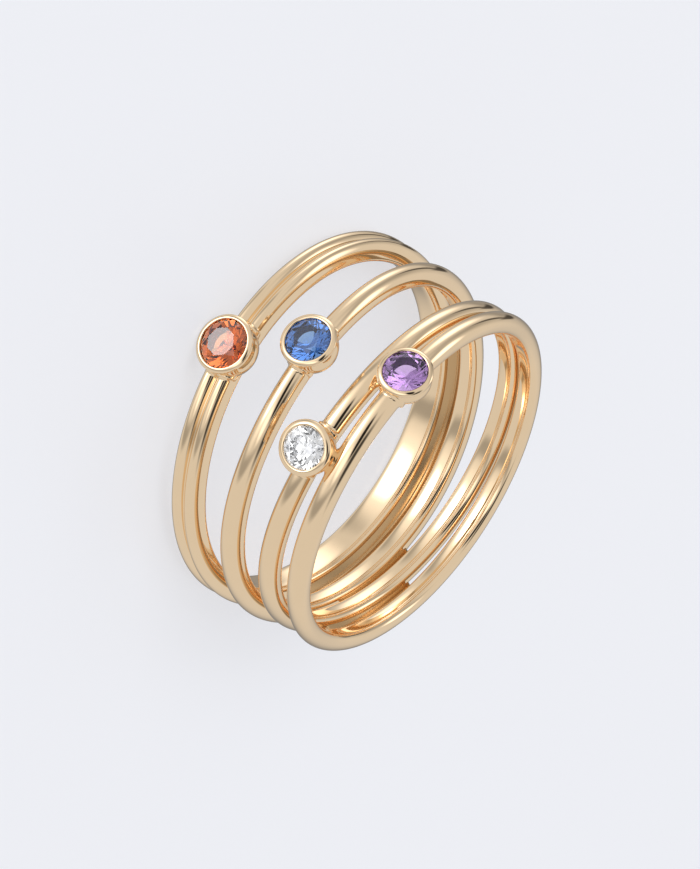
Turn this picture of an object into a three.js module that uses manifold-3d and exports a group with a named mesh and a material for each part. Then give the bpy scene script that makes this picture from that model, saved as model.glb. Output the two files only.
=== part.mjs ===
// Finger ring of four gold wire bands, each with one round stone in a bezel.
// Millimetres. The ring is built round the Z axis with its stones towards -Y, then leaned over
// until its lowest band and the lowest bezel lie on the floor at z = 0.
import * as THREE from "three";
import { ConvexGeometry } from "three/addons/geometries/ConvexGeometry.js";
import { mergeVertices } from "three/addons/utils/BufferGeometryUtils.js";
import Module from "manifold-3d";

const BAND_STEPS = 56;
const BEZEL_STEPS = 22;

// Wire section: widths lie along the finger, heights point away from it.
const WIRE_WIDTH = 1.144;
const WIRE_INNER_HEIGHT = 0.486;
const ROUND_POWER = 2;
const INNER_POWER = 3;
const RIDGE_WIDTH = 0.822;
const DOUBLE_INNER_POWER = 4.5;
const GROOVE_DEPTH = 0.34;
const SECTION_STEPS = 6;
const RIDGE_STEPS = 5;

// One row a band, in the order of the stack. radius is the middle of the wire and rise its outer
// height. lift, frontTilt, sideTilt, frontWave and sideWave place its line along the finger.
const BANDS = [
  { name: "orange", double: true, radius: 9.256, rise: 0.68,
    lift: -6.698, frontTilt: -0.996, sideTilt: 0.146, frontWave: 0.017, sideWave: 0.108 },
  { name: "blue", double: false, radius: 9.236, rise: 0.66,
    lift: -4.0, frontTilt: -0.263, sideTilt: 0.167, frontWave: 0.189, sideWave: 0.118 },
  { name: "clear", double: false, radius: 9.016, rise: 0.52,
    lift: -1.521, frontTilt: 0.614, sideTilt: -0.354, frontWave: 0.151, sideWave: 0.044 },
  { name: "violet", double: false, radius: 9.056, rise: 0.55,
    lift: 0, frontTilt: 0.632, sideTilt: -0.027, frontWave: 0.079, sideWave: 0.028 },
];

// One row a bezel. angle runs round the finger from -Y, reach is the lip's distance from the
// finger's axis, shift moves it along the finger. sight is the open radius over the stone, rim
// and base are the outer radii at the bead and the foot, depth runs from lip to foot.
// leanRound and leanAlong tip the stone's axis round and along the finger.
const BEZELS = {
  orange: { angle: 16.1, reach: 10.7, shift: 0, sight: 1.24, rim: 1.53, base: 1.47,
    depth: 1.4, leanRound: 0.046, leanAlong: -0.05, colour: 0xd2601f },
  blue: { angle: 3.5, reach: 10.55, shift: 0.05, sight: 1.123, rim: 1.435, base: 1.35,
    depth: 1.45, leanRound: 0.06, leanAlong: 0.01, colour: 0x24468c },
  clear: { angle: 28.8, reach: 10.3, shift: -0.03, sight: 1.056, rim: 1.411, base: 1.33,
    depth: 1.3, leanRound: 0.068, leanAlong: 0.068, colour: 0xe6e8ee },
  violet: { angle: -4.5, reach: 9.95, shift: 0.15, sight: 1.085, rim: 1.378, base: 1.31,
    depth: 1.3, leanRound: 0.04, leanAlong: 0.15, colour: 0x8b4fa8 },
};

// Bezel details, down from the lip.
const BEAD_CREST = 0.05;
const BEAD_DROP = 0.3;
const STEP_IN = 0.07;
const STEP_DROP = 0.08;
const FOOT_ROUND = 0.16;

// Stone cut, as shares of the girdle radius.
const LIP_COVER = 0.09;
const SEAT_GAP = 0.04;
const TABLE_SHARE = 0.56;
const CROWN_SHARE = 0.31;
const STAR_SHARE = 0.79;
const GIRDLE_SHARE = 0.05;
const PAVILION_SHARE = 0.8;
const LOWER_SHARE = 0.24;
const STONE_SIDES = 8;

// Solder between neighbouring bands, round from the palm: start and end angles.
const SOLDER = [
  { from: 150, to: 264 },
  { from: 150, to: 188 },
  { from: 129, to: 181 },
];
const SOLDER_HEIGHT = 0.26;
const SOLDER_BITE = 0.34;
const SOLDER_STEPS = 10;
const SOLDER_LENGTH_STEPS = 18;

// At rest the ring leans back a little: it lies on the lowest bezel and on two points of the
// lowest band.
const LEAN_ABOUT_X = -7.556;
const LEAN_ABOUT_Y = -0.321;

const GOLD_COLOUR = 0xe5caab;
const radians = THREE.MathUtils.degToRad;

const wasm = await Module();
wasm.setup();

function toSolid(geometry) {
  const bare = geometry.clone();
  for (const key of Object.keys(bare.attributes)) {
    if (key !== "position") bare.deleteAttribute(key);
  }
  const merged = mergeVertices(bare, 1e-5);
  return new wasm.Manifold(
    new wasm.Mesh({
      numProp: 3,
      vertProperties: new Float32Array(merged.attributes.position.array),
      triVerts: new Uint32Array(merged.index.array),
    }),
  );
}

function toGeometry(solid) {
  const mesh = solid.getMesh();
  const geometry = new THREE.BufferGeometry();
  geometry.setAttribute("position", new THREE.BufferAttribute(mesh.vertProperties, 3));
  geometry.setIndex(new THREE.BufferAttribute(mesh.triVerts, 1));
  return geometry;
}

// How far along the finger a band's line lies at an angle round it.
function bandHeight(band, angle) {
  return (
    band.lift +
    band.frontTilt * Math.cos(angle) +
    band.sideTilt * Math.sin(angle) +
    band.frontWave * Math.cos(2 * angle) +
    band.sideWave * Math.sin(2 * angle)
  );
}

function rounded(value, power) {
  return Math.sign(value) * Math.abs(value) ** (2 / power);
}

// Part of a superellipse between two angles, x away from the finger and y along it.
function roundPart(start, end, steps, height, halfWidth, power, middle = 0) {
  const points = [];
  for (let i = 0; i <= steps; i++) {
    const t = start + ((end - start) * i) / steps;
    points.push(
      new THREE.Vector2(
        height * rounded(Math.cos(t), power),
        middle + halfWidth * rounded(Math.sin(t), power),
      ),
    );
  }
  return points;
}

function innerHalf(halfWidth, power) {
  const quarter = Math.PI / 2;
  const part = roundPart(
    quarter, 3 * quarter, SECTION_STEPS, WIRE_INNER_HEIGHT, halfWidth, power);
  return part.slice(1, -1);
}

function singleSection(band) {
  const quarter = Math.PI / 2;
  const half = WIRE_WIDTH / 2;
  const outer = roundPart(-quarter, quarter, SECTION_STEPS, band.rise, half, ROUND_POWER);
  return [...outer, ...innerHalf(half, INNER_POWER)];
}

// Two round ridges side by side, with a groove between them and one flat inner face.
function doubleSection(band) {
  const quarter = Math.PI / 2;
  const half = RIDGE_WIDTH / 2;
  const floor = (band.rise - GROOVE_DEPTH) / band.rise;
  const sweep = Math.acos(floor);
  const lower = roundPart(-quarter, sweep, RIDGE_STEPS, band.rise, half, ROUND_POWER, -half);
  const upper = roundPart(-sweep, quarter, RIDGE_STEPS, band.rise, half, ROUND_POWER, half);
  return [...lower, ...upper, ...innerHalf(RIDGE_WIDTH, DOUBLE_INNER_POWER)];
}

// Lathe about Z, with angle 0 towards -Y.
function latheAboutZ(points, steps) {
  return new THREE.LatheGeometry(points, steps).rotateX(Math.PI / 2);
}

function bandGeometry(band) {
  const section = band.double ? doubleSection(band) : singleSection(band);
  const points = section.map((p) => new THREE.Vector2(band.radius + p.x, p.y));
  points.push(points[0].clone());
  const geometry = latheAboutZ(points, BAND_STEPS);
  const place = geometry.attributes.position;
  for (let i = 0; i < place.count; i++) {
    const angle = Math.atan2(place.getX(i), -place.getY(i));
    place.setZ(i, place.getZ(i) + bandHeight(band, angle));
  }
  return geometry;
}

// Turns and moves a piece drawn round Z at the origin to its bezel's seat.
function bezelPlace(band) {
  const bezel = BEZELS[band.name];
  const angle = radians(bezel.angle);
  const outward = new THREE.Vector3(Math.sin(angle), -Math.cos(angle), 0);
  const round = new THREE.Vector3(Math.cos(angle), Math.sin(angle), 0);
  const along = new THREE.Vector3(0, 0, 1);
  const centre = outward
    .clone()
    .multiplyScalar(bezel.reach)
    .addScaledVector(along, bandHeight(band, angle) + bezel.shift);
  const normal = outward
    .clone()
    .addScaledVector(round, bezel.leanRound)
    .addScaledVector(along, bezel.leanAlong)
    .normalize();
  const side = along.clone().cross(normal).normalize();
  const up = normal.clone().cross(side);
  return new THREE.Matrix4().makeBasis(side, up, normal).setPosition(centre);
}

function bezelCup(bezel) {
  const { sight, rim, base, depth } = bezel;
  const crest = (sight + rim) / 2;
  const neck = rim - STEP_IN;
  const points = [
    new THREE.Vector2(0, -depth),
    new THREE.Vector2(base - FOOT_ROUND, -depth),
    new THREE.Vector2(base, FOOT_ROUND - depth),
    new THREE.Vector2(neck, -BEAD_DROP - STEP_DROP),
    new THREE.Vector2(neck, -BEAD_DROP),
    new THREE.Vector2(rim, -BEAD_DROP / 2 - BEAD_CREST),
    new THREE.Vector2(rim - STEP_IN / 2, -BEAD_CREST),
    new THREE.Vector2(crest, BEAD_CREST),
    new THREE.Vector2(sight, 0),
    new THREE.Vector2(0, 0),
  ];
  return latheAboutZ(points, BEZEL_STEPS);
}

function girdleRadius(bezel) {
  return bezel.sight + LIP_COVER;
}

// Height of the stone's girdle edge below the lip, so that the crown just clears the lip.
function girdleDrop(bezel) {
  const slope = CROWN_SHARE / (1 - TABLE_SHARE);
  return LIP_COVER * slope + SEAT_GAP;
}

// The hollow a stone sits in: open at the lip, undercut for the girdle, a cone below it.
function stonePocket(bezel) {
  const girdle = girdleRadius(bezel);
  const drop = girdleDrop(bezel);
  const wide = girdle + SEAT_GAP;
  const low = -drop - GIRDLE_SHARE * girdle;
  const points = [
    new THREE.Vector2(0, low - PAVILION_SHARE * girdle - 2 * SEAT_GAP),
    new THREE.Vector2(wide, low - SEAT_GAP),
    new THREE.Vector2(wide, -drop),
    new THREE.Vector2(bezel.sight + SEAT_GAP, 0),
    new THREE.Vector2(bezel.sight + SEAT_GAP, 1),
    new THREE.Vector2(0, 1),
  ];
  return latheAboutZ(points, BEZEL_STEPS);
}

// Round brilliant: table, stars, kites and girdle facets above, mains and halves below.
function stoneGeometry(bezel) {
  const girdle = girdleRadius(bezel);
  const step = (2 * Math.PI) / STONE_SIDES;
  const top = -girdleDrop(bezel);
  const low = top - GIRDLE_SHARE * girdle;
  const half = Math.cos(step / 2);
  const crown = CROWN_SHARE * girdle;
  const starHeight = (crown * (1 - STAR_SHARE * half)) / (1 - TABLE_SHARE);
  const lowerDepth = PAVILION_SHARE * girdle * (1 - LOWER_SHARE * half);
  const rings = [
    { share: TABLE_SHARE, height: top + crown, offsets: [0] },
    { share: STAR_SHARE, height: top + starHeight, offsets: [0.5] },
    { share: 1, height: top, offsets: [0, 0.5] },
    { share: 1, height: low, offsets: [0, 0.5] },
    { share: LOWER_SHARE, height: low - lowerDepth, offsets: [0.5] },
  ];
  const points = [new THREE.Vector3(0, 0, low - PAVILION_SHARE * girdle)];
  for (const ring of rings) {
    for (let i = 0; i < STONE_SIDES; i++) {
      for (const offset of ring.offsets) {
        const angle = (i + offset) * step;
        const radius = ring.share * girdle;
        points.push(
          new THREE.Vector3(radius * Math.cos(angle), radius * Math.sin(angle), ring.height),
        );
      }
    }
  }
  return new ConvexGeometry(points);
}

// A flat bead of solder with tapered ends, in the groove between two neighbouring bands.
function solderBead(lower, upper, arc) {
  const bead = new THREE.SphereGeometry(1, SOLDER_STEPS, SOLDER_LENGTH_STEPS);
  const place = bead.attributes.position;
  const middle = radians((arc.from + arc.to) / 2);
  const reach = radians((arc.to - arc.from) / 2);
  const radius = (lower.radius + upper.radius) / 2;
  for (let i = 0; i < place.count; i++) {
    const angle = middle + reach * place.getY(i);
    const bottom = bandHeight(lower, angle) + bandEdge(lower);
    const top = bandHeight(upper, angle) - bandEdge(upper);
    const halfWidth = (top - bottom) / 2 + SOLDER_BITE;
    const out = radius + SOLDER_HEIGHT * place.getX(i);
    place.setXYZ(
      i,
      out * Math.sin(angle),
      -out * Math.cos(angle),
      (bottom + top) / 2 + halfWidth * place.getZ(i),
    );
  }
  return bead;
}

function bandEdge(band) {
  return band.double ? RIDGE_WIDTH : WIRE_WIDTH / 2;
}

function goldGeometry() {
  let metal = toSolid(bandGeometry(BANDS[0]));
  for (const band of BANDS.slice(1)) metal = metal.add(toSolid(bandGeometry(band)));
  for (const band of BANDS) {
    const cup = bezelCup(BEZELS[band.name]).applyMatrix4(bezelPlace(band));
    metal = metal.add(toSolid(cup));
  }
  SOLDER.forEach((arc, i) => {
    metal = metal.add(toSolid(solderBead(BANDS[i], BANDS[i + 1], arc)));
  });
  for (const band of BANDS) {
    const pocket = stonePocket(BEZELS[band.name]).applyMatrix4(bezelPlace(band));
    metal = metal.subtract(toSolid(pocket));
  }
  return toGeometry(metal);
}

function goldMaterial() {
  return new THREE.MeshStandardMaterial({ color: GOLD_COLOUR, roughness: 0.12, metalness: 1 });
}

function stoneMaterial(colour) {
  return new THREE.MeshStandardMaterial({ color: colour, roughness: 0.03, metalness: 0 });
}

function namedMesh(name, geometry, material) {
  const mesh = new THREE.Mesh(geometry, material);
  mesh.name = name;
  return mesh;
}

// Leans every piece over and sets the whole on the floor, centred over the origin.
function settle(group) {
  const lean = new THREE.Matrix4()
    .makeRotationY(radians(LEAN_ABOUT_Y))
    .multiply(new THREE.Matrix4().makeRotationX(radians(LEAN_ABOUT_X)));
  for (const mesh of group.children) mesh.geometry.applyMatrix4(lean);
  const box = new THREE.Box3().setFromObject(group, true);
  const centre = box.getCenter(new THREE.Vector3());
  for (const mesh of group.children) {
    mesh.geometry.translate(-centre.x, -centre.y, -box.min.z);
  }
}

const ring = new THREE.Group();
ring.name = "birthstone_ring";
ring.add(namedMesh("gold_ring", goldGeometry(), goldMaterial()));
for (const band of BANDS) {
  const bezel = BEZELS[band.name];
  const geometry = stoneGeometry(bezel).applyMatrix4(bezelPlace(band));
  ring.add(namedMesh(band.name + "_stone", geometry, stoneMaterial(bezel.colour)));
}
settle(ring);

export default ring;
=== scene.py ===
"""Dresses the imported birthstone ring: wires, bezels, solder, cut stones, and a small studio."""

import math

import bmesh
import bpy
from mathutils import Matrix, Vector


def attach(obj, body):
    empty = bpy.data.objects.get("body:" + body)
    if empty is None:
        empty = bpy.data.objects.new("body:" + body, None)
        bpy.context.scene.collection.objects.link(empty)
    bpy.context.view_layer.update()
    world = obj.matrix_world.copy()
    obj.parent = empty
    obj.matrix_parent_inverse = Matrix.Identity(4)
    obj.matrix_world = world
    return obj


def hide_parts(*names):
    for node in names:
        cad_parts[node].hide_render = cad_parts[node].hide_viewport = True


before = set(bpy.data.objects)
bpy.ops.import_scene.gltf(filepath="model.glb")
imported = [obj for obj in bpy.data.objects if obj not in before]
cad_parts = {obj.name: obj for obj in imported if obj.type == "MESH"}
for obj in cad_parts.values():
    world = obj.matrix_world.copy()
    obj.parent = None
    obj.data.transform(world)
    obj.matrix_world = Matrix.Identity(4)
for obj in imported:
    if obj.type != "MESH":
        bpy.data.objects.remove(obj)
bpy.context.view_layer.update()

bl_info = {
    "name": "Birthstone Ring",
    "version": (1, 0, 0),
    "blender": (4, 5, 0),
    "location": "View3D > Sidebar > Ring",
    "description": "Builds a ring of four gold wires with a bezel-set stone on each",
    "category": "Add Mesh",
}

# Lengths are in millimetres in the ring's own frame: its axis is Z and the stones face -Y.
MM = 0.001
# How the ring lies on the floor, and where its own origin then is.
LEAN_ABOUT_X = math.radians(-7.556)
LEAN_ABOUT_Y = math.radians(-0.321)
SETTLED_AT = Vector((-0.0373, 1.1309, 7.6683))
# A hair of shrinkage about the middle keeps the finish inside the solids' box.
SHRINK = 0.998
MIDDLE = Vector((0.0, 0.0, 5.5466))

# One row a band. ridges is 1 for the double wire and 0 for a single one, radius is the middle of
# the wire and rise its outer height; lift, tilts and waves place its line along the finger.
# beside names the bezel that also touches the band.
BANDS = {
    "orange": dict(ridges=1.0, radius=9.256, rise=0.68, lift=-6.698, front_tilt=-0.996,
                   side_tilt=0.146, front_wave=0.017, side_wave=0.108, beside=None),
    "blue": dict(ridges=0.0, radius=9.236, rise=0.66, lift=-4.0, front_tilt=-0.263,
                 side_tilt=0.167, front_wave=0.189, side_wave=0.118, beside=None),
    "clear": dict(ridges=0.0, radius=9.016, rise=0.52, lift=-1.521, front_tilt=0.614,
                  side_tilt=-0.354, front_wave=0.151, side_wave=0.044, beside="violet"),
    "violet": dict(ridges=0.0, radius=9.056, rise=0.55, lift=0.0, front_tilt=0.632,
                   side_tilt=-0.027, front_wave=0.079, side_wave=0.028, beside="clear"),
}

# One row a bezel. angle runs round the finger from -Y, reach is the lip's distance from the
# finger's axis, and shift is along the finger from the band's line. sight, rim and base are the
# radii at the stone, the bead and the foot, and depth runs from lip to foot. The leans tip the
# bezel round and along the finger, and turn spins its stone in degrees.
BEZELS = {
    "orange": dict(angle=16.1, reach=10.7, shift=0.0, sight=1.24, rim=1.53, base=1.47,
                   depth=1.4, lean_round=0.046, lean_along=-0.05, turn=8.0),
    "blue": dict(angle=3.5, reach=10.55, shift=0.05, sight=1.123, rim=1.435, base=1.35,
                 depth=1.45, lean_round=0.06, lean_along=0.01, turn=20.0),
    "clear": dict(angle=28.8, reach=10.3, shift=-0.03, sight=1.056, rim=1.411, base=1.33,
                  depth=1.3, lean_round=0.068, lean_along=0.068, turn=5.0),
    "violet": dict(angle=-4.5, reach=9.95, shift=0.15, sight=1.085, rim=1.378, base=1.31,
                   depth=1.3, lean_round=0.04, lean_along=0.15, turn=14.0),
}

# Wire section: a round wire, or two ridges with a groove between them. The side on the finger
# is the flatter, the higher its power.
WIRE_WIDTH = 1.144
INNER_HEIGHT = 0.486
RIDGE_WIDTH = 0.822
GROOVE_DEPTH = 0.34
SINGLE_INNER_POWER = 3.0
DOUBLE_INNER_POWER = 4.5
ALONG_STEPS = 721
ROUND_STEPS = 65
# How strongly the steps gather at the bezel, from 0, even, to 1.
GATHER = 0.7
# Points closer than this are one point where the rolled grid's edges meet.
CLOSE_SEAM = 0.002
# Radius of the solder where a wire meets a bezel.
FILLET = 0.16
# How far down a bezel still dents its wire, and the room between the dent and the cup.
NEAR_SEAT = 2.5
POCKET_ROOM = 0.03
# The place of a bezel that a band doesn't have.
NOWHERE = Vector((0.0, 0.0, 500.0))

# Bezel profile: drops are down from the lip, and ins are towards the stone's axis.
BEZEL_STEPS = 128
ON_AXIS = 1e-6
RIM_TRIM = 0.016
BEAD_DROP = 0.28
BEAD_TAPER = 0.03
GROOVE_IN = 0.17
GROOVE_DROP = 0.4
BARREL_IN = 0.2
# Softening of its corners, at most half of the way to the next one.
FOOT_ROUND = 0.1
BARREL_ROUND = 1.0
GROOVE_ROUND = 0.06
NECK_ROUND = 0.03
BEAD_ROUND = 0.04
CORNER_STEPS = 8
# The lip from its outer wall to the stone as arcs: each one's radius, in widths of the lip, and
# the angle from the stone's axis to which its surface has turned at the end.
LIP_ARCS = ((0.2, 48.0), (1.2, 16.0), (0.29, -70.0))
LIP_STEPS = 8
LIP_CREST = 0.035
LIP_START = 0.02
# Skins of the profile's last faces: 1 is foil under the stone, and 2 is a disc at the cup's
# bottom that glows with painted light in place of daylight through an open back; the disc takes
# this share of the cup's radius.
SEAT_SKINS = (1, 1, 1, 2)
BACK_SHARE = 0.42

# How far the lip covers the stone, and the stone's room in its seat.
LIP_COVER = 0.09
SEAT_GAP = 0.04
# Stone cut, as shares of the girdle's radius.
TABLE_SHARE = 0.56
CROWN_SHARE = 0.31
STAR_SHARE = 0.79
GIRDLE_SHARE = 0.05
PAVILION_SHARE = 0.86
LOWER_SHARE = 0.24
STONE_SIDES = 8
GIRDLE_STEPS = 96
# Points closer than these are one point on a facet and on the whole stone.
FACET_SNAP = 1e-6
STONE_SNAP = 1e-4
# Drop of the girdle's top edge under the lip's edge.
GIRDLE_DROP = LIP_COVER * CROWN_SHARE / (1.0 - TABLE_SHARE) + SEAT_GAP

# Solder round from the palm: the two bands it joins, and its start and end angles.
SOLDER = (
    ("orange", "blue", 142.0, 264.0),
    ("blue", "clear", 150.0, 182.0),
    ("clear", "violet", 129.0, 172.0),
)
# Its half thickness, the dip of its middle away from the finger, where across its half width the
# dip ends, how far its edges then rise, as a share of the dip, and its bite into the wires.
SOLDER_HEIGHT = 0.13
SOLDER_DIP = 0.34
SOLDER_SHORE = 0.55
SOLDER_RISE = 0.5
SOLDER_BITE = 0.3
SOLDER_STEPS = 48
# Its ends thin out the faster, the higher this even power.
SOLDER_END_POWER = 12

# Finishes. The imported solids already bring a polished_gold, so the scene's has its own name.
GOLD = "mirror_gold"
FOIL_ROUGHNESS = 0.4
SOLDER_ROUGHNESS = 0.2
# Cloudiness of a metal: its noise scale, its darkest shade and how much rougher it gets.
CLOUD_SCALE = 900.0
CLOUD_DETAIL = 3.0
CLOUD_SHADE = 0.96
ROUGHNESS_SPREAD = 0.015
# Polishing marks: their noise scale, strength and depth in metres.
MARK_SCALE = 9000.0
MARK_DETAIL = 2.0
MARK_STRENGTH = 0.02
MARK_DEPTH = 0.00002
# Colour zones of a stone: their noise scale and how far the palest goes towards white.
ZONE_SCALE = 500.0
ZONE_DETAIL = 1.0
ZONE_PALE = 0.1
WHITE = (1.0, 1.0, 1.0, 1.0)


class Socket:
    """An output of a node that adds Math nodes when it is used in a sum."""

    def __init__(self, graph, socket):
        self.graph = graph
        self.socket = socket

    def math(self, operation, *others):
        return self.graph.math(operation, self, *others)

    def __add__(self, other):
        return self.math("ADD", other)

    def __radd__(self, other):
        return self.graph.math("ADD", other, self)

    def __sub__(self, other):
        return self.math("SUBTRACT", other)

    def __rsub__(self, other):
        return self.graph.math("SUBTRACT", other, self)

    def __mul__(self, other):
        return self.math("MULTIPLY", other)

    def __rmul__(self, other):
        return self.graph.math("MULTIPLY", other, self)

    def __truediv__(self, other):
        return self.math("DIVIDE", other)

    def __rtruediv__(self, other):
        return self.graph.math("DIVIDE", other, self)

    def __pow__(self, other):
        return self.math("POWER", other)

    def __abs__(self):
        return self.math("ABSOLUTE")

    def __gt__(self, other):
        return self.math("GREATER_THAN", other)

    def __lt__(self, other):
        return self.math("LESS_THAN", other)


class Graph:
    """Adds and links nodes in one node tree."""

    def __init__(self, tree):
        self.tree = tree

    def node(self, kind, settings=None, inputs=None):
        """Adds a node, sets it up, then fills its inputs with values or links."""
        made = self.tree.nodes.new(kind)
        for key, value in (settings or {}).items():
            setattr(made, key, value)
        for key, value in (inputs or {}).items():
            target = made.inputs[key]
            if isinstance(value, Socket):
                self.tree.links.new(value.socket, target)
            else:
                target.default_value = value
        return made

    def out(self, kind, settings=None, inputs=None, name=0):
        """The named output of a new node."""
        return Socket(self, self.node(kind, settings, inputs).outputs[name])

    def math(self, operation, *values):
        settings = {"operation": operation}
        return self.out("ShaderNodeMath", settings, dict(enumerate(values)))

    def vector(self, operation, first, second=None, name=0):
        """A Vector Math node, whose number for SCALE goes to its fourth socket."""
        inputs = {0: first}
        if second is not None:
            inputs[3 if operation == "SCALE" else 1] = second
        return self.out("ShaderNodeVectorMath", {"operation": operation}, inputs, name)

    def pick(self, mask, when_set, otherwise):
        """when_set where the mask is 1, otherwise where it is 0."""
        return mask * when_set + (1.0 - mask) * otherwise

    def join(self, x, y, z):
        return self.out("ShaderNodeCombineXYZ", None, {0: x, 1: y, 2: z})

    def split(self, vector):
        made = self.node("ShaderNodeSeparateXYZ", None, {0: vector})
        return [Socket(self, made.outputs[i]) for i in range(3)]


def band_height(band, angle):
    """How far along the finger a band's line lies at an angle round it."""
    return (
        band["lift"]
        + band["front_tilt"] * math.cos(angle)
        + band["side_tilt"] * math.sin(angle)
        + band["front_wave"] * math.cos(2 * angle)
        + band["side_wave"] * math.sin(2 * angle)
    )


def bezel_frame(name):
    """The lip's centre and the stone's outward axis, in the ring's own frame."""
    bezel = BEZELS[name]
    angle = math.radians(bezel["angle"])
    outward = Vector((math.sin(angle), -math.cos(angle), 0.0))
    around = Vector((math.cos(angle), math.sin(angle), 0.0))
    along = Vector((0.0, 0.0, 1.0))
    centre = outward * bezel["reach"]
    centre += along * (band_height(BANDS[name], angle) + bezel["shift"])
    axis = outward + around * bezel["lean_round"] + along * bezel["lean_along"]
    return centre, axis.normalized()


def bezel_matrix(name):
    """Turns a piece drawn round Z at the origin to its bezel's seat."""
    centre, axis = bezel_frame(name)
    side = Vector((0.0, 0.0, 1.0)).cross(axis).normalized()
    up = axis.cross(side)
    turned = Matrix((side, up, axis)).transposed().to_4x4()
    return Matrix.Translation(centre) @ turned


def ring_to_floor():
    """From the ring's own frame in millimetres to where it lies, in metres."""
    lean = Matrix.Rotation(LEAN_ABOUT_Y, 4, "Y") @ Matrix.Rotation(LEAN_ABOUT_X, 4, "X")
    held = Matrix.Translation(MIDDLE) @ Matrix.Scale(SHRINK, 4) @ Matrix.Translation(-MIDDLE)
    return Matrix.Scale(MM, 4) @ held @ Matrix.Translation(SETTLED_AT) @ lean


def girdle_radius(bezel):
    return bezel["sight"] + LIP_COVER


def pocket_top(bezel):
    """Height at which the cup under the girdle starts to narrow."""
    return -GIRDLE_DROP - GIRDLE_SHARE * girdle_radius(bezel) - SEAT_GAP


def pocket_bottom(bezel):
    """Height of the cup's deepest point."""
    girdle = girdle_radius(bezel)
    low = GIRDLE_DROP + (GIRDLE_SHARE + PAVILION_SHARE) * girdle
    return -low - 2 * SEAT_GAP


# The band tree's inputs: a band's own with their keys in BANDS, and those of each bezel.
BAND_INPUTS = (
    ("Ridges", "ridges"),
    ("Radius", "radius"),
    ("Rise", "rise"),
    ("Lift", "lift"),
    ("Front Tilt", "front_tilt"),
    ("Side Tilt", "side_tilt"),
    ("Front Wave", "front_wave"),
    ("Side Wave", "side_wave"),
)
SEAT_FLOATS = ("Wall", "Depth", "Pocket Radius", "Pocket Top", "Pocket Bottom")
SEAT_VECTORS = ("Centre", "Axis")
SEATS = ("Bezel", "Neighbour")


def add_input(tree, name, kind, value):
    made = tree.interface.new_socket(name, in_out="INPUT", socket_type=kind)
    made.default_value = value


def wire_section(graph, sweep, given):
    """Outward and sideways offsets round the wire from the section angle."""
    quarter = math.pi / 2
    cos = graph.math("COSINE", sweep)
    sin = graph.math("SINE", sweep)
    sign = graph.math("SIGN", sin)
    ridges = given["Ridges"]
    half = graph.pick(ridges, RIDGE_WIDTH, WIRE_WIDTH / 2)
    power = graph.pick(ridges, 2 / DOUBLE_INNER_POWER, 2 / SINGLE_INNER_POWER)
    inner_out = abs(cos) ** power * -INNER_HEIGHT
    inner_along = sign * abs(sin) ** power * half
    round_out = abs(cos) * given["Rise"]
    round_along = sin * (WIRE_WIDTH / 2)
    groove = graph.math("ARCCOSINE", 1.0 - GROOVE_DEPTH / given["Rise"])
    share = 1.0 - abs(sweep / quarter)
    ridge = share * (groove + quarter) - quarter
    stretch = graph.pick(ridge > 0.0, 1.0 / graph.math("SINE", groove), 1.0)
    ridge_out = graph.math("COSINE", ridge) * given["Rise"]
    ridge_along = 1.0 - graph.math("SINE", ridge) * stretch
    ridge_along = sign * ridge_along * (RIDGE_WIDTH / 2)
    outer_out = graph.pick(ridges, ridge_out, round_out)
    outer_along = graph.pick(ridges, ridge_along, round_along)
    outside = cos > 0.0
    out = graph.pick(outside, outer_out, inner_out)
    along = graph.pick(outside, outer_along, inner_along)
    return out, along


def limit(graph, value):
    """The value held between 0 and 1."""
    return graph.math("MINIMUM", graph.math("MAXIMUM", value, 0.0), 1.0)


def seat_offset(graph, given, seat, normal, place):
    """Moves the wire's skin at a bezel: a solder fillet up its wall, room for its stone."""
    size = {name: given[seat + " " + name] for name in SEAT_FLOATS}
    axis = given[seat + " Axis"]
    away = graph.vector("SUBTRACT", place, given[seat + " Centre"])
    height = graph.vector("DOT_PRODUCT", away, axis, "Value")
    flat = graph.vector("SUBTRACT", away, graph.vector("SCALE", axis, height))
    distance = graph.vector("LENGTH", flat, None, "Value")
    fillet = given["Fillet"]
    gap = graph.math("MAXIMUM", distance - size["Wall"], 0.0)
    left = graph.math("MAXIMUM", fillet - gap, 0.0)
    flare = fillet - graph.math("SQRT", fillet * fillet - left * left)
    foot = limit(graph, (height + size["Depth"]) / fillet)
    skin = graph.vector("SCALE", normal, flare * foot)
    slope = (size["Pocket Top"] - size["Pocket Bottom"]) / size["Pocket Radius"]
    cone = size["Pocket Bottom"] + slope * distance
    above = graph.math("MAXIMUM", height + fillet - cone, 0.0)
    inside = (distance < size["Pocket Radius"]) * (height > -NEAR_SEAT)
    dent = graph.vector("SCALE", axis, above * inside * -1.0)
    return graph.vector("ADD", skin, dent)


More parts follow.
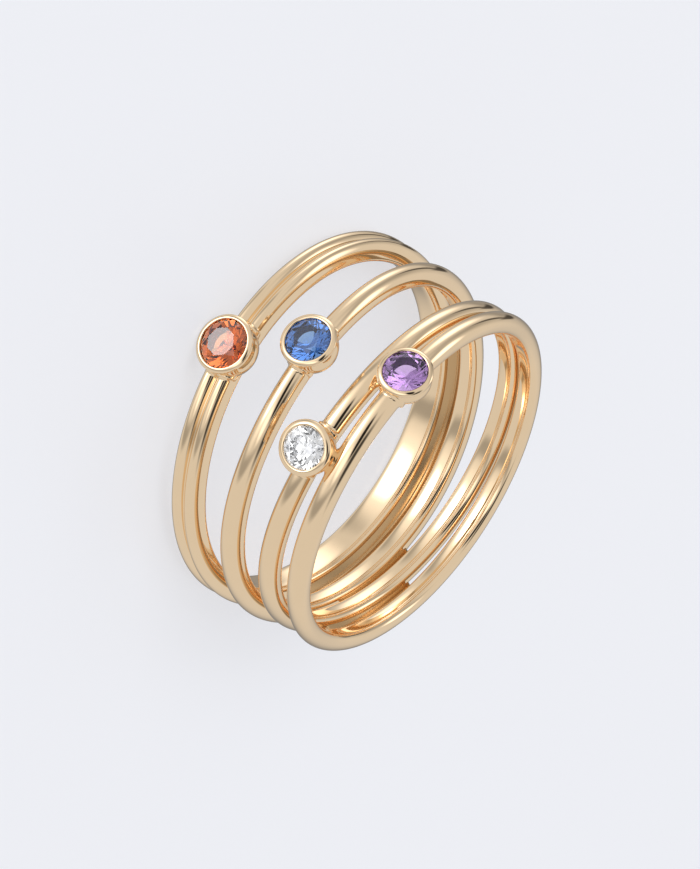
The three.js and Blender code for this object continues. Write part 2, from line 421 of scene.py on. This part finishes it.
def band_tree(material):
    """Geometry Nodes for one wire band: a grid rolled round the finger and round the wire."""
    tree = bpy.data.node_groups.new("wire_band", "GeometryNodeTree")
    graph = Graph(tree)
    for name, _ in BAND_INPUTS:
        add_input(tree, name, "NodeSocketFloat", 0.0)
    add_input(tree, "Bezel Angle", "NodeSocketFloat", 0.0)
    add_input(tree, "Fillet", "NodeSocketFloat", FILLET)
    for seat in SEATS:
        for name in SEAT_VECTORS:
            add_input(tree, seat + " " + name, "NodeSocketVector", NOWHERE)
        for name in SEAT_FLOATS:
            add_input(tree, seat + " " + name, "NodeSocketFloat", 1.0)
    tree.interface.new_socket("Geometry", in_out="OUTPUT", socket_type="NodeSocketGeometry")
    entry = graph.node("NodeGroupInput")
    given = {s.name: Socket(graph, s) for s in entry.outputs if s.name}
    turn = 2 * math.pi
    grid = graph.node("GeometryNodeMeshGrid", None, {
        "Size X": turn, "Size Y": turn, "Vertices X": ALONG_STEPS, "Vertices Y": ROUND_STEPS})
    flat = graph.out("GeometryNodeInputPosition")
    round_finger, sweep, _ = graph.split(flat)
    gathered = round_finger - graph.math("SINE", round_finger) * GATHER
    angle = gathered + given["Bezel Angle"]
    out, along = wire_section(graph, sweep, given)
    cos = graph.math("COSINE", angle)
    sin = graph.math("SINE", angle)
    double = angle * 2.0
    line = given["Lift"] + given["Front Tilt"] * cos + given["Side Tilt"] * sin
    line = line + given["Front Wave"] * graph.math("COSINE", double)
    line = line + given["Side Wave"] * graph.math("SINE", double)
    radius = given["Radius"] + out
    place = graph.join(radius * sin, radius * cos * -1.0, line + along)
    named = graph.out("GeometryNodeStoreNamedAttribute",
                      {"data_type": "FLOAT2", "domain": "CORNER"},
                      {"Geometry": Socket(graph, grid.outputs["Mesh"]), "Name": "UVMap",
                       "Value": graph.join(angle, sweep, 0.0)})
    rolled = graph.out("GeometryNodeSetPosition", None, {"Geometry": named, "Position": place})
    closed = graph.out("GeometryNodeMergeByDistance", None,
                       {"Geometry": rolled, "Distance": CLOSE_SEAM})
    normal = graph.out("GeometryNodeInputNormal")
    here = graph.out("GeometryNodeInputPosition")
    offset = seat_offset(graph, given, SEATS[0], normal, here)
    offset = graph.vector("ADD", offset, seat_offset(graph, given, SEATS[1], normal, here))
    seated = graph.out("GeometryNodeSetPosition", None, {"Geometry": closed, "Offset": offset})
    smooth = graph.out("GeometryNodeSetShadeSmooth", None, {"Geometry": seated})
    real = graph.out("GeometryNodeRealizeInstances", None, {"Geometry": smooth})
    dressed = graph.out("GeometryNodeSetMaterial", None,
                        {"Geometry": real, "Material": material})
    leave = graph.node("NodeGroupOutput")
    tree.links.new(dressed.socket, leave.inputs["Geometry"])
    return tree


def mesh_from_tree(name, tree, values):
    """Runs a tree with the given inputs and keeps its result as a plain mesh object."""
    carrier = bpy.data.objects.new(name + "_carrier", bpy.data.meshes.new(name + "_carrier"))
    bpy.context.scene.collection.objects.link(carrier)
    modifier = carrier.modifiers.new("nodes", "NODES")
    modifier.node_group = tree
    for item in tree.interface.items_tree:
        if item.item_type == "SOCKET" and item.in_out == "INPUT" and item.name in values:
            modifier[item.identifier] = values[item.name]
    depsgraph = bpy.context.evaluated_depsgraph_get()
    mesh = bpy.data.meshes.new_from_object(carrier.evaluated_get(depsgraph))
    carrier.modifiers.remove(modifier)
    bpy.data.objects.remove(carrier)
    mesh.name = name
    if not mesh.polygons:
        raise RuntimeError("the node tree made no faces for " + name)
    return add_piece(name, mesh)


def add_piece(name, mesh):
    piece = bpy.data.objects.new(name, mesh)
    bpy.context.scene.collection.objects.link(piece)
    return piece


def finish_piece(piece, node):
    """Hangs a piece on the root and hides the imported part that it stands in for."""
    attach(piece, "root")
    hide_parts(node)


def seat_values(seat, name):
    """The inputs that tell a band's tree about one bezel."""
    if name is None:
        return {}
    bezel = BEZELS[name]
    centre, axis = bezel_frame(name)
    radius = girdle_radius(bezel) + SEAT_GAP
    return {
        seat + " Centre": centre,
        seat + " Axis": axis,
        seat + " Wall": bezel["base"],
        seat + " Depth": bezel["depth"],
        seat + " Pocket Radius": radius,
        seat + " Pocket Top": pocket_top(bezel) - POCKET_ROOM,
        seat + " Pocket Bottom": pocket_bottom(bezel) - POCKET_ROOM,
    }


def rounded_profile(corners):
    """Points along a profile whose corners (radius, height, rounding) are softened."""
    points = []
    last = len(corners) - 1
    for i, (x, y, rounding) in enumerate(corners):
        here = Vector((x, y))
        if i in (0, last) or rounding == 0:
            points.append(here)
            continue
        before = Vector(corners[i - 1][:2]) - here
        after = Vector(corners[i + 1][:2]) - here
        start = here + before * min(rounding / before.length, 0.5)
        end = here + after * min(rounding / after.length, 0.5)
        for step in range(CORNER_STEPS + 1):
            t = step / CORNER_STEPS
            points.append(start.lerp(here, t).lerp(here.lerp(end, t), t))
    return points


def lip_profile(sight, rim):
    """Points along the lip, from the top of its outer wall to its edge on the stone."""
    points = []
    place, angle = Vector((rim, 0.0)), 90.0
    for share, end in LIP_ARCS:
        radius = share * (rim - sight)
        centre = place - radius * profile_normal(angle)
        for step in range(1, LIP_STEPS + 1):
            turned = angle + (end - angle) * step / LIP_STEPS
            points.append(centre + radius * profile_normal(turned))
        place, angle = points[-1], end
    lowered = Vector((0.0, LIP_CREST - max(point.y for point in points)))
    return [point + lowered for point in points]


def profile_normal(degrees):
    """Unit vector in a profile's plane, at an angle from the stone's axis."""
    angle = math.radians(degrees)
    return Vector((math.sin(angle), math.cos(angle)))


def bezel_profile(bezel):
    """Foot, barrel wall, groove, round lip and the hollow for the stone, axis to axis."""
    sight, rim, base, depth = (bezel[k] for k in ("sight", "rim", "base", "depth"))
    rim -= RIM_TRIM
    neck = rim - GROOVE_IN
    lip = lip_profile(sight, rim)
    outline = rounded_profile((
        (0.0, -depth, 0),
        (base - BARREL_IN, -depth, FOOT_ROUND),
        (base, -(GROOVE_DROP + depth) / 2, BARREL_ROUND),
        (neck, -GROOVE_DROP, GROOVE_ROUND),
        (neck + BEAD_TAPER, -BEAD_DROP, NECK_ROUND),
        (rim, -BEAD_DROP + BEAD_TAPER, BEAD_ROUND),
        (rim, lip[0].y - LIP_START, 0),
    ))
    wide = girdle_radius(bezel) + SEAT_GAP
    bottom = Vector((0.0, pocket_bottom(bezel)))
    return outline + lip + [
        Vector((wide, -GIRDLE_DROP)),
        Vector((wide, pocket_top(bezel))),
        Vector((wide, pocket_top(bezel))).lerp(bottom, 1.0 - BACK_SHARE),
        bottom,
    ]


def lathe(name, profile, steps, last_skins):
    """A closed mesh turned round Z from a profile that starts and ends on the axis.

    last_skins holds the material slots of the profile's last faces; the others have slot 0.
    """
    shape = bmesh.new()
    rings = []
    for point in profile:
        places = 1 if point.x < ON_AXIS else steps
        rings.append([shape.verts.new(polar(point.x, 2 * math.pi * i / steps, point.y))
                      for i in range(places)])
    skins = [0] * (len(rings) - 1 - len(last_skins)) + list(last_skins)
    for low, high, skin in zip(rings, rings[1:], skins):
        for i in range(steps):
            j = (i + 1) % steps
            corners = dict.fromkeys((low[i % len(low)], low[j % len(low)],
                                     high[j % len(high)], high[i % len(high)]))
            if len(corners) > 2:
                shape.faces.new(list(corners)).material_index = skin
    bmesh.ops.recalc_face_normals(shape, faces=shape.faces)
    return keep_mesh(name, shape)


def keep_mesh(name, shape, smooth=True):
    """Turns a finished bmesh into a mesh, smooth or with flat faces."""
    for face in shape.faces:
        face.smooth = smooth
    mesh = bpy.data.meshes.new(name)
    shape.to_mesh(mesh)
    shape.free()
    return mesh


def cut_facet(shape, points, inside):
    """Grinds one flat facet through three points, keeping the side that holds inside."""
    a, b, c = points
    normal = (b - a).cross(c - a).normalized()
    if (inside - a).dot(normal) > 0:
        normal.negate()
    geometry = shape.verts[:] + shape.edges[:] + shape.faces[:]
    cut = bmesh.ops.bisect_plane(shape, geom=geometry, dist=FACET_SNAP, plane_co=a,
                                 plane_no=normal, clear_outer=True)
    rim = [e for e in cut["geom_cut"] if isinstance(e, bmesh.types.BMEdge) and e.is_boundary]
    if len(rim) > 2:
        bmesh.ops.contextual_create(shape, geom=rim)


def polar(radius, angle, height):
    """A point by its distance from Z, its angle round Z and its height."""
    return Vector((radius * math.cos(angle), radius * math.sin(angle), height))


def brilliant(name, bezel):
    """A round brilliant: a short cylinder ground flat facet by facet."""
    girdle = girdle_radius(bezel)
    top = -GIRDLE_DROP
    low = top - GIRDLE_SHARE * girdle
    crown = top + CROWN_SHARE * girdle
    culet = low - PAVILION_SHARE * girdle
    step = 2 * math.pi / STONE_SIDES
    half = math.cos(step / 2)
    star_height = top + (crown - top) * (1 - STAR_SHARE * half) / (1 - TABLE_SHARE)
    lower_height = low - (low - culet) * (1 - LOWER_SHARE * half)
    turn = math.radians(bezel["turn"])
    shape = bmesh.new()
    bmesh.ops.create_cone(shape, cap_ends=True, segments=GIRDLE_STEPS, radius1=girdle,
                          radius2=girdle, depth=2 * girdle)
    inside = Vector((0.0, 0.0, (top + low) / 2))
    # Any three places at the crown's height lay out the table.
    cut_facet(shape, [polar(1, a, crown) for a in (0.0, 1.0, 2.0)], inside)
    for i in range(STONE_SIDES):
        here, beside = turn + i * step, turn + (i + 1) * step
        between = (here + beside) / 2
        table = [polar(TABLE_SHARE * girdle, a, crown) for a in (here, beside)]
        star = polar(STAR_SHARE * girdle, between, star_height)
        edge = [polar(girdle, a, top) for a in (here, between, beside)]
        deep = polar(LOWER_SHARE * girdle, between, lower_height)
        under = [polar(girdle, a, low) for a in (here, between, beside)]
        before = polar(STAR_SHARE * girdle, between - step, star_height)
        deep_before = polar(LOWER_SHARE * girdle, between - step, lower_height)
        cut_facet(shape, [star, before, edge[0]], inside)
        cut_facet(shape, [table[0], table[1], star], inside)
        cut_facet(shape, [star, edge[0], edge[1]], inside)
        cut_facet(shape, [star, edge[1], edge[2]], inside)
        cut_facet(shape, [deep, deep_before, under[0]], inside)
        cut_facet(shape, [deep, under[0], under[1]], inside)
        cut_facet(shape, [deep, under[1], under[2]], inside)
    bmesh.ops.remove_doubles(shape, verts=shape.verts, dist=STONE_SNAP)
    bmesh.ops.recalc_face_normals(shape, faces=shape.faces)
    return keep_mesh(name, shape, smooth=False)


def solder_web(name, lower, upper, start, end):
    """A web of solder between two bands, hollow towards the finger, with round notched ends."""
    shape = bmesh.new()
    bmesh.ops.create_uvsphere(shape, u_segments=SOLDER_STEPS, v_segments=SOLDER_STEPS,
                              radius=1.0)
    middle = math.radians((start + end) / 2)
    reach = math.radians((end - start) / 2)
    below, above = BANDS[lower], BANDS[upper]
    radius = (below["radius"] + above["radius"]) / 2
    for vertex in shape.verts:
        wide = math.hypot(vertex.co.x, vertex.co.y) or 1.0
        thick, across = vertex.co.x / wide, vertex.co.y / wide
        near_end = vertex.co.z ** SOLDER_END_POWER
        angle = middle + reach * vertex.co.z
        bottom = band_height(below, angle) + band_edge(below)
        top = band_height(above, angle) - band_edge(above)
        notch = near_end * (1.0 - across ** 2) * (top - bottom) / (2 * radius)
        angle -= math.copysign(notch, vertex.co.z)
        half = (top - bottom) / 2 + SOLDER_BITE
        hollow = SOLDER_DIP * max(1.0 - abs(across) / SOLDER_SHORE, -SOLDER_RISE)
        out = radius + SOLDER_HEIGHT * thick * (1.0 - near_end) + hollow
        along = (bottom + top) / 2 + half * across
        vertex.co = Vector((out * math.sin(angle), -out * math.cos(angle), along))
    bmesh.ops.recalc_face_normals(shape, faces=shape.faces)
    return keep_mesh(name, shape)


def band_edge(band):
    """From the middle of a band's line to the side of its wire."""
    return RIDGE_WIDTH if band["ridges"] else WIRE_WIDTH / 2


def shader(name):
    """A new material, its graph and its Principled shader, wired to the output."""
    material = bpy.data.materials.new(name)
    material.use_nodes = True
    material.node_tree.nodes.clear()
    graph = Graph(material.node_tree)
    surface = graph.node("ShaderNodeBsdfPrincipled")
    output = graph.node("ShaderNodeOutputMaterial")
    graph.tree.links.new(surface.outputs["BSDF"], output.inputs["Surface"])
    return material, graph, surface, output


def link(graph, value, node, name):
    graph.tree.links.new(value.socket, node.inputs[name])


def metal_material(name, tone, roughness):
    """Metal with an even colour, faint cloudiness and fine polishing marks."""
    material, graph, surface, _ = shader(name)
    surface.inputs["Metallic"].default_value = 1.0
    place = graph.out("ShaderNodeTexCoord", None, None, "Object")
    cloud = graph.out("ShaderNodeTexNoise", None,
                      {"Vector": place, "Scale": CLOUD_SCALE, "Detail": CLOUD_DETAIL}, "Fac")
    deep = [c * CLOUD_SHADE for c in tone[:3]] + [1.0]
    colour = graph.out("ShaderNodeMix", {"data_type": "RGBA"},
                       {"Factor": cloud, "A": deep, "B": list(tone)}, "Result")
    link(graph, colour, surface, "Base Color")
    link(graph, cloud * ROUGHNESS_SPREAD + roughness, surface, "Roughness")
    marks = graph.out("ShaderNodeTexNoise", None,
                      {"Vector": place, "Scale": MARK_SCALE, "Detail": MARK_DETAIL}, "Fac")
    bump = graph.out("ShaderNodeBump", None, {
        "Strength": MARK_STRENGTH, "Distance": MARK_DEPTH, "Height": marks}, "Normal")
    link(graph, bump, surface, "Normal")
    return material


def painted_backlight_material(name, tone, level):
    """Foil that glows: painted light in place of daylight coming in through a bezel's open back.
    """
    material, _, surface, _ = shader(name)
    surface.inputs["Metallic"].default_value = 1.0
    surface.inputs["Base Color"].default_value = tone
    surface.inputs["Roughness"].default_value = FOIL_ROUGHNESS
    surface.inputs["Emission Color"].default_value = WHITE
    surface.inputs["Emission Strength"].default_value = level
    return material


def gem_material(name, colour, depth_colour, density, index):
    """A clear cut stone: glass that takes its colour from its own depth."""
    material, graph, surface, output = shader(name)
    surface.inputs["Roughness"].default_value = 0.0
    surface.inputs["IOR"].default_value = index
    surface.inputs["Transmission Weight"].default_value = 1.0
    place = graph.out("ShaderNodeTexCoord", None, None, "Object")
    zone = graph.out("ShaderNodeTexNoise", None,
                     {"Vector": place, "Scale": ZONE_SCALE, "Detail": ZONE_DETAIL}, "Fac")
    pale = [c + (1.0 - c) * ZONE_PALE for c in colour[:3]] + [1.0]
    tint = graph.out("ShaderNodeMix", {"data_type": "RGBA"},
                     {"Factor": zone, "A": list(colour), "B": pale}, "Result")
    link(graph, tint, surface, "Base Color")
    body = graph.node("ShaderNodeVolumeAbsorption", None,
                      {"Color": list(depth_colour), "Density": density})
    graph.tree.links.new(body.outputs["Volume"], output.inputs["Volume"])
    return material


class RingFinish(bpy.types.PropertyGroup):
    gold: bpy.props.FloatVectorProperty(
        name="Gold", description="Colour of the polished gold", subtype="COLOR", size=4,
        default=(0.95, 0.728, 0.478, 1.0), min=0.0, max=1.0)
    # Darker than the gold: partly the solder's own tone, partly painted shade for the brown in
    # the grooves between the bands.
    solder: bpy.props.FloatVectorProperty(
        name="Solder", description="Colour of the solder between the bands", subtype="COLOR",
        size=4, default=(0.62, 0.4, 0.2, 1.0), min=0.0, max=1.0)
    polish: bpy.props.FloatProperty(
        name="Polish", description="Roughness of the gold, 0 for a mirror", default=0.03,
        min=0.0, max=1.0, subtype="FACTOR")
    fillet: bpy.props.FloatProperty(
        name="Solder Fillet", description="Radius of the solder where a wire meets a bezel",
        default=FILLET * MM, min=0.0, unit="LENGTH")


class RingStudio(bpy.types.PropertyGroup):
    floor: bpy.props.FloatVectorProperty(
        name="Floor", description="Colour of the floor", subtype="COLOR", size=4,
        default=(0.3, 0.304, 0.32, 1.0), min=0.0, max=1.0)
    glow: bpy.props.FloatProperty(
        name="Floor Glow", description="Light that comes up through the floor's white sheet",
        default=1.85, min=0.0)
    key: bpy.props.FloatProperty(
        name="Key Light", description="Power of the large light", default=1.1, min=0.0,
        unit="POWER")
    sky: bpy.props.FloatProperty(
        name="Sky", description="Strength of the light all round", default=1.0, min=0.0)


# colour tints the surface, depth and density the body, foil the seat under the stone, and back
# is the glow of painted light that the seat's bottom gives off in place of light from behind it.
GEMS = {
    "orange": dict(colour=(1.0, 0.68, 0.32, 1.0), depth=(0.82, 0.4, 0.06, 1.0), density=860.0,
                   index=1.77, foil=(0.26, 0.09, 0.03, 1.0), back=0.75),
    "blue": dict(colour=(0.6, 0.8, 1.0, 1.0), depth=(0.1, 0.36, 0.66, 1.0), density=880.0,
                 index=1.77, foil=(0.06, 0.12, 0.24, 1.0), back=0.85),
    "clear": dict(colour=WHITE, depth=(0.95, 0.95, 0.97, 1.0), density=10.0,
                  index=2.4, foil=(0.84, 0.85, 0.88, 1.0), back=0.0),
    "violet": dict(colour=(0.84, 0.72, 0.92, 1.0), depth=(0.5, 0.27, 0.6, 1.0),
                   density=640.0, index=1.6, foil=(0.24, 0.14, 0.3, 1.0), back=1.0),
}


class RING_OT_wires(bpy.types.Operator):
    """Roll the four wire bands round the finger and flare them up the bezel walls"""

    bl_idname = "ring.wires"
    bl_label = "Wire Bands"

    def execute(self, context):
        finish = context.scene.ring_finish
        gold = metal_material(GOLD, finish.gold, finish.polish)
        tree = band_tree(gold)
        for name, band in BANDS.items():
            values = {label: float(band[key]) for label, key in BAND_INPUTS}
            values["Bezel Angle"] = math.radians(BEZELS[name]["angle"])
            values["Fillet"] = finish.fillet / MM
            values.update(seat_values(SEATS[0], name))
            values.update(seat_values(SEATS[1], band["beside"]))
            piece = mesh_from_tree(name + "_band", tree, values)
            piece.data.transform(ring_to_floor())
            finish_piece(piece, "gold_ring")
        return {"FINISHED"}


class RING_OT_bezels(bpy.types.Operator):
    """Turn the four bezels with their rolled lips"""

    bl_idname = "ring.bezels"
    bl_label = "Bezels"

    def execute(self, context):
        gold = bpy.data.materials.get(GOLD)
        if gold is None:
            raise RuntimeError("make the wire bands first: they bring the gold")
        for name, bezel in BEZELS.items():
            mesh = lathe(name + "_bezel", bezel_profile(bezel), BEZEL_STEPS, SEAT_SKINS)
            mesh.transform(ring_to_floor() @ bezel_matrix(name))
            mesh.materials.append(gold)
            gem = GEMS[name]
            mesh.materials.append(metal_material(name + "_foil", gem["foil"], FOIL_ROUGHNESS))
            # The seat's bottom glows: painted light in place of daylight through an open back.
            mesh.materials.append(painted_backlight_material(name + "_back", gem["foil"], gem["back"]))
            finish_piece(add_piece(name + "_bezel", mesh), "gold_ring")
        return {"FINISHED"}


class RING_OT_solder(bpy.types.Operator):
    """Run solder between neighbouring bands at the palm"""

    bl_idname = "ring.solder"
    bl_label = "Palm Solder"

    def execute(self, context):
        tone = context.scene.ring_finish.solder
        # The solder's darker colour is partly painted shade in the grooves between the bands.
        solder = metal_material("solder", tone, SOLDER_ROUGHNESS)
        for lower, upper, start, end in SOLDER:
            name = lower + "_" + upper + "_solder"
            mesh = solder_web(name, lower, upper, start, end)
            mesh.transform(ring_to_floor())
            mesh.materials.append(solder)
            finish_piece(add_piece(name, mesh), "gold_ring")
        return {"FINISHED"}


class RING_OT_stones(bpy.types.Operator):
    """Cut the four round stones facet by facet and set them in their bezels"""

    bl_idname = "ring.stones"
    bl_label = "Stones"

    def execute(self, context):
        for name, bezel in BEZELS.items():
            gem = GEMS[name]
            mesh = brilliant(name + "_gem", bezel)
            mesh.transform(ring_to_floor() @ bezel_matrix(name))
            mesh.materials.append(gem_material(name + "_gem", gem["colour"], gem["depth"],
                                               gem["density"], gem["index"]))
            finish_piece(add_piece(name + "_gem", mesh), name + "_stone")
        return {"FINISHED"}


# The photo's angle to the ring, and the camera's place and clipping range in metres.
CAMERA_RIGHT = Vector((-0.628652, 0.280497, 0.72534))
CAMERA_UP = Vector((-0.710193, -0.58712, -0.388478))
CAMERA_AT = Vector((0.0860161, -0.2064593, 0.1579486))
CAMERA_LENS = 226.786
CAMERA_SENSOR = 36.0
CAMERA_NEAR = 0.01
CAMERA_FAR = 10.0
# The floor's side and its finish, and the softbox over it, in metres.
FLOOR_SIZE = 3.0
FLOOR_ROUGHNESS = 0.35
FLOOR_SPECULAR = 0.3
SOFTBOX_AT = Vector((-0.1, -0.35, 0.45))
SOFTBOX_SIZE = 0.4
# How often light may turn on its way: in all and through the stones, and off the metal.
STONE_BOUNCES = 20
METAL_BOUNCES = 12


def add_camera():
    """The camera, at the photo's angle to the ring."""
    back = CAMERA_RIGHT.cross(CAMERA_UP)
    turned = Matrix((CAMERA_RIGHT, CAMERA_UP, back)).transposed().to_4x4()
    data = bpy.data.cameras.new("camera")
    data.lens = CAMERA_LENS
    data.sensor_width = CAMERA_SENSOR
    data.clip_start = CAMERA_NEAR
    data.clip_end = CAMERA_FAR
    camera = bpy.data.objects.new("camera", data)
    camera.matrix_world = Matrix.Translation(CAMERA_AT) @ turned
    bpy.context.scene.collection.objects.link(camera)
    bpy.context.scene.camera = camera


def add_softbox(power):
    """A square light over the ring that lights it and casts its shadow, unseen by mirror rays."""
    data = bpy.data.lights.new("overhead", "AREA")
    data.shape = "SQUARE"
    data.size = SOFTBOX_SIZE
    data.energy = power
    light = bpy.data.objects.new("overhead", data)
    light.location = SOFTBOX_AT
    light.rotation_euler = (-SOFTBOX_AT).to_track_quat("-Z", "Y").to_euler()
    light.visible_glossy = False
    bpy.context.scene.collection.objects.link(light)


# The studio's walls: their brightness and tint.
STUDIO_LEVEL = 0.76
STUDIO_TINT = (0.985, 0.99, 1.0, 1.0)
# Soft panels on the walls as seen from the ring, each with its azimuth and elevation, half width
# and half height in degrees, roll, edge softness and brightness. Later ones lie over the others.
PANELS = (
    dict(azimuth=113, elevation=-35, wide=40, tall=36, roll=0, soft=0.5, level=0.28),
    dict(azimuth=-27, elevation=-10, wide=7, tall=60, roll=0, soft=0.6, level=0.42),
    dict(azimuth=-112, elevation=-40, wide=10, tall=20, roll=0, soft=0.5, level=0.45),
    dict(azimuth=-175, elevation=16, wide=30, tall=12, roll=10, soft=0.9, level=0.42),
    dict(azimuth=-157, elevation=38, wide=8, tall=18, roll=0, soft=0.7, level=0.5),
    dict(azimuth=154, elevation=-22, wide=8, tall=18, roll=0, soft=0.7, level=0.35),
    dict(azimuth=149, elevation=-7, wide=4, tall=14, roll=-8, soft=0.4, level=0.08),
    dict(azimuth=165, elevation=3, wide=17, tall=4.5, roll=14, soft=0.5, level=0.12),
    dict(azimuth=-160, elevation=-21, wide=18, tall=14, roll=0, soft=0.7, level=1.9),
    dict(azimuth=169, elevation=46, wide=14, tall=9, roll=-20, soft=0.6, level=1.9),
    dict(azimuth=-72, elevation=-20, wide=22, tall=24, roll=0, soft=0.8, level=1.6),
    dict(azimuth=-73, elevation=-23, wide=11, tall=11, roll=0, soft=0.8, level=5.5),
    dict(azimuth=-53, elevation=20, wide=10, tall=18, roll=-20, soft=0.5, level=1.5),
    dict(azimuth=-72, elevation=41, wide=20, tall=9, roll=50, soft=0.3, level=0.02),
    dict(azimuth=-30, elevation=74, wide=20, tall=14, roll=0, soft=0.5, level=0.06),
)


def panel_mask(graph, way, panel):
    """1 where a direction falls on a panel, easing to 0 past its edge."""
    azimuth, elevation = math.radians(panel["azimuth"]), math.radians(panel["elevation"])
    turn = Matrix.Rotation(azimuth, 3, "Z") @ Matrix.Rotation(-elevation, 3, "Y")
    turn = turn @ Matrix.Rotation(math.radians(panel["roll"]), 3, "X")
    ahead, side, up = turn.col
    across = graph.vector("DOT_PRODUCT", way, side, "Value")
    across = across / math.sin(math.radians(panel["wide"]))
    rise = graph.vector("DOT_PRODUCT", way, up, "Value")
    rise = rise / math.sin(math.radians(panel["tall"]))
    edge = graph.math("SQRT", across * across + rise * rise)
    facing = graph.vector("DOT_PRODUCT", way, ahead, "Value") > 0.0
    inside = graph.out("ShaderNodeMapRange", {"interpolation_type": "SMOOTHSTEP"}, {
        "Value": edge, "From Min": 1.0 - panel["soft"], "From Max": 1.0 + panel["soft"],
        "To Min": 1.0, "To Max": 0.0})
    return inside * facing


def studio_world(strength):
    """The light all round: an even level with the panels laid over it one after another."""
    world = bpy.data.worlds.new("studio")
    world.use_nodes = True
    world.node_tree.nodes.clear()
    graph = Graph(world.node_tree)
    way = graph.out("ShaderNodeTexCoord", None, None, "Generated")
    level = STUDIO_LEVEL
    for panel in PANELS:
        level = graph.pick(panel_mask(graph, way, panel), panel["level"], level)
    light = graph.out("ShaderNodeBackground", None,
                      {"Color": STUDIO_TINT, "Strength": level * strength})
    leave = graph.node("ShaderNodeOutputWorld")
    graph.tree.links.new(light.socket, leave.inputs["Surface"])
    return world


def floor_material(colour, glow):
    """A pale sheet that is lit from below, so that shadows on it stay faint."""
    material, _, surface, _ = shader("pale_floor")
    surface.inputs["Base Color"].default_value = colour
    surface.inputs["Roughness"].default_value = FLOOR_ROUGHNESS
    surface.inputs["Specular IOR Level"].default_value = FLOOR_SPECULAR
    surface.inputs["Emission Color"].default_value = colour
    surface.inputs["Emission Strength"].default_value = glow
    return material


class RING_OT_stage(bpy.types.Operator):
    """Lay the pale floor and set up the soft lights and the camera"""

    bl_idname = "ring.stage"
    bl_label = "Stage"

    def execute(self, context):
        studio = context.scene.ring_studio
        shape = bmesh.new()
        bmesh.ops.create_grid(shape, x_segments=1, y_segments=1, size=FLOOR_SIZE / 2)
        mesh = keep_mesh("floor", shape)
        mesh.materials.append(floor_material(studio.floor, studio.glow))
        floor = add_piece("floor", mesh)
        floor.visible_glossy = False
        add_softbox(studio.key)
        context.scene.world = studio_world(studio.sky)
        context.scene.view_settings.view_transform = "Standard"
        cycles = context.scene.cycles
        cycles.max_bounces = cycles.transmission_bounces = STONE_BOUNCES
        cycles.glossy_bounces = METAL_BOUNCES
        add_camera()
        return {"FINISHED"}


class RING_PT_panel(bpy.types.Panel):
    """The ring's pieces in the 3D view's sidebar"""

    bl_label = "Birthstone Ring"
    bl_space_type = "VIEW_3D"
    bl_region_type = "UI"
    bl_category = "Ring"

    def draw(self, context):
        finish, studio = context.scene.ring_finish, context.scene.ring_studio
        for owner in (finish, studio):
            for key in owner.__annotations__:
                self.layout.prop(owner, key)
        for operator in OPERATORS:
            self.layout.operator(operator.bl_idname)


OPERATORS = (RING_OT_wires, RING_OT_bezels, RING_OT_solder, RING_OT_stones, RING_OT_stage)
GROUPS = (RingFinish, RingStudio)


def register():
    for cls in (*GROUPS, *OPERATORS, RING_PT_panel):
        bpy.utils.register_class(cls)
    bpy.types.Scene.ring_finish = bpy.props.PointerProperty(type=RingFinish)
    bpy.types.Scene.ring_studio = bpy.props.PointerProperty(type=RingStudio)


def unregister():
    del bpy.types.Scene.ring_studio
    del bpy.types.Scene.ring_finish
    for cls in (RING_PT_panel, *OPERATORS[::-1], *GROUPS[::-1]):
        bpy.utils.unregister_class(cls)


def main():
    register()
    for operator in OPERATORS:
        group, name = operator.bl_idname.split(".")
        getattr(getattr(bpy.ops, group), name)()


if __name__ == "__main__":
    main()
